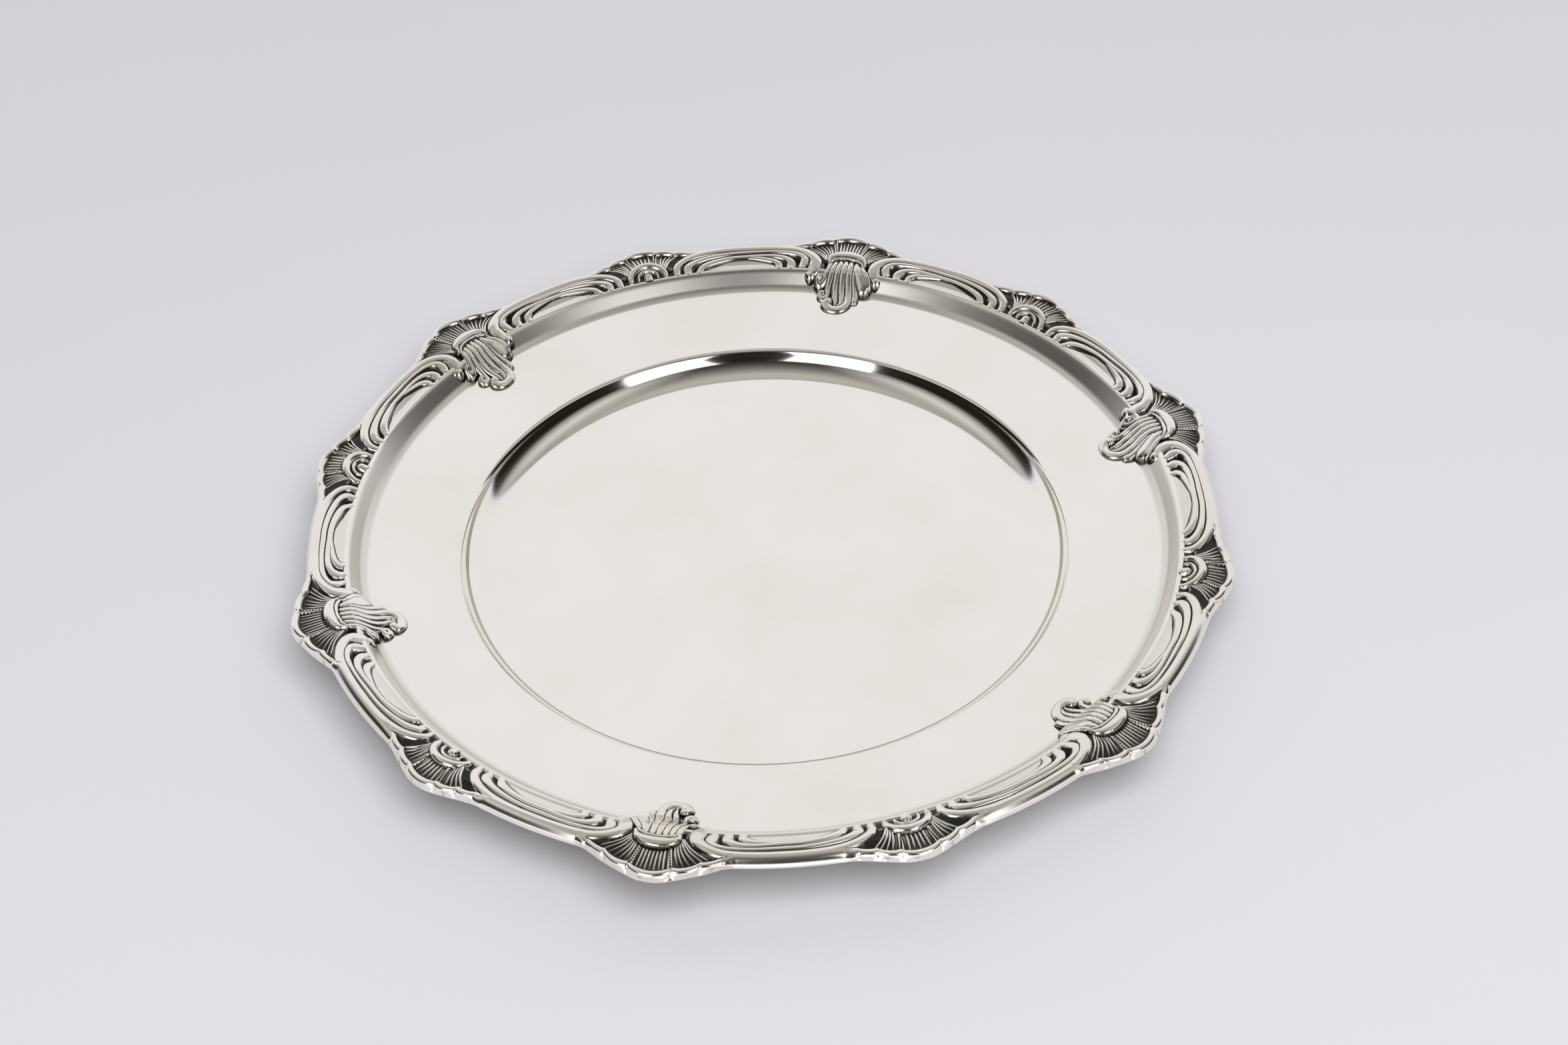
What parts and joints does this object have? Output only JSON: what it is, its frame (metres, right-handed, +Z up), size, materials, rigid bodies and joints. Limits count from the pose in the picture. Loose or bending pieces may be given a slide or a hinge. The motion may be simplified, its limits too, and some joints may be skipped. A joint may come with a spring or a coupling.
{
  "type": "paten plate",
  "caption": "Round silver plate with a flat well, a plain raised rim and an applied cast border of fluted shells, leaf plumes and scrolls.",
  "frame": {"origin": "centre of the underside, on the surface the plate stands on", "axes": "+Z up out of the well, +Y towards the middle of a large shell, +X towards the middle of a small shell"},
  "size_m": [0.262, 0.2666, 0.0177],
  "materials": {
    "spun_silver": "polished silver with fine rubbing marks",
    "cast_silver": "polished silver, oxidised dark in the recesses"
  },
  "bodies": {
    "root": {"plate_body": "spun_silver", "shell_large_1": "cast_silver", "shell_large_2": "cast_silver", "shell_large_3": "cast_silver", "shell_large_4": "cast_silver", "shell_large_5": "cast_silver", "shell_large_6": "cast_silver", "plume_1": "cast_silver", "plume_2": "cast_silver", "plume_3": "cast_silver", "plume_4": "cast_silver", "plume_5": "cast_silver", "plume_6": "cast_silver", "scroll_right_1": "cast_silver", "scroll_right_2": "cast_silver", "scroll_right_3": "cast_silver", "scroll_right_4": "cast_silver", "scroll_right_5": "cast_silver", "scroll_right_6": "cast_silver", "scroll_left_1": "cast_silver", "scroll_left_2": "cast_silver", "scroll_left_3": "cast_silver", "scroll_left_4": "cast_silver", "scroll_left_5": "cast_silver", "scroll_left_6": "cast_silver", "shell_small_1": "cast_silver", "shell_small_2": "cast_silver", "shell_small_3": "cast_silver", "shell_small_4": "cast_silver", "shell_small_5": "cast_silver", "shell_small_6": "cast_silver"}
  },
  "joints": []
}
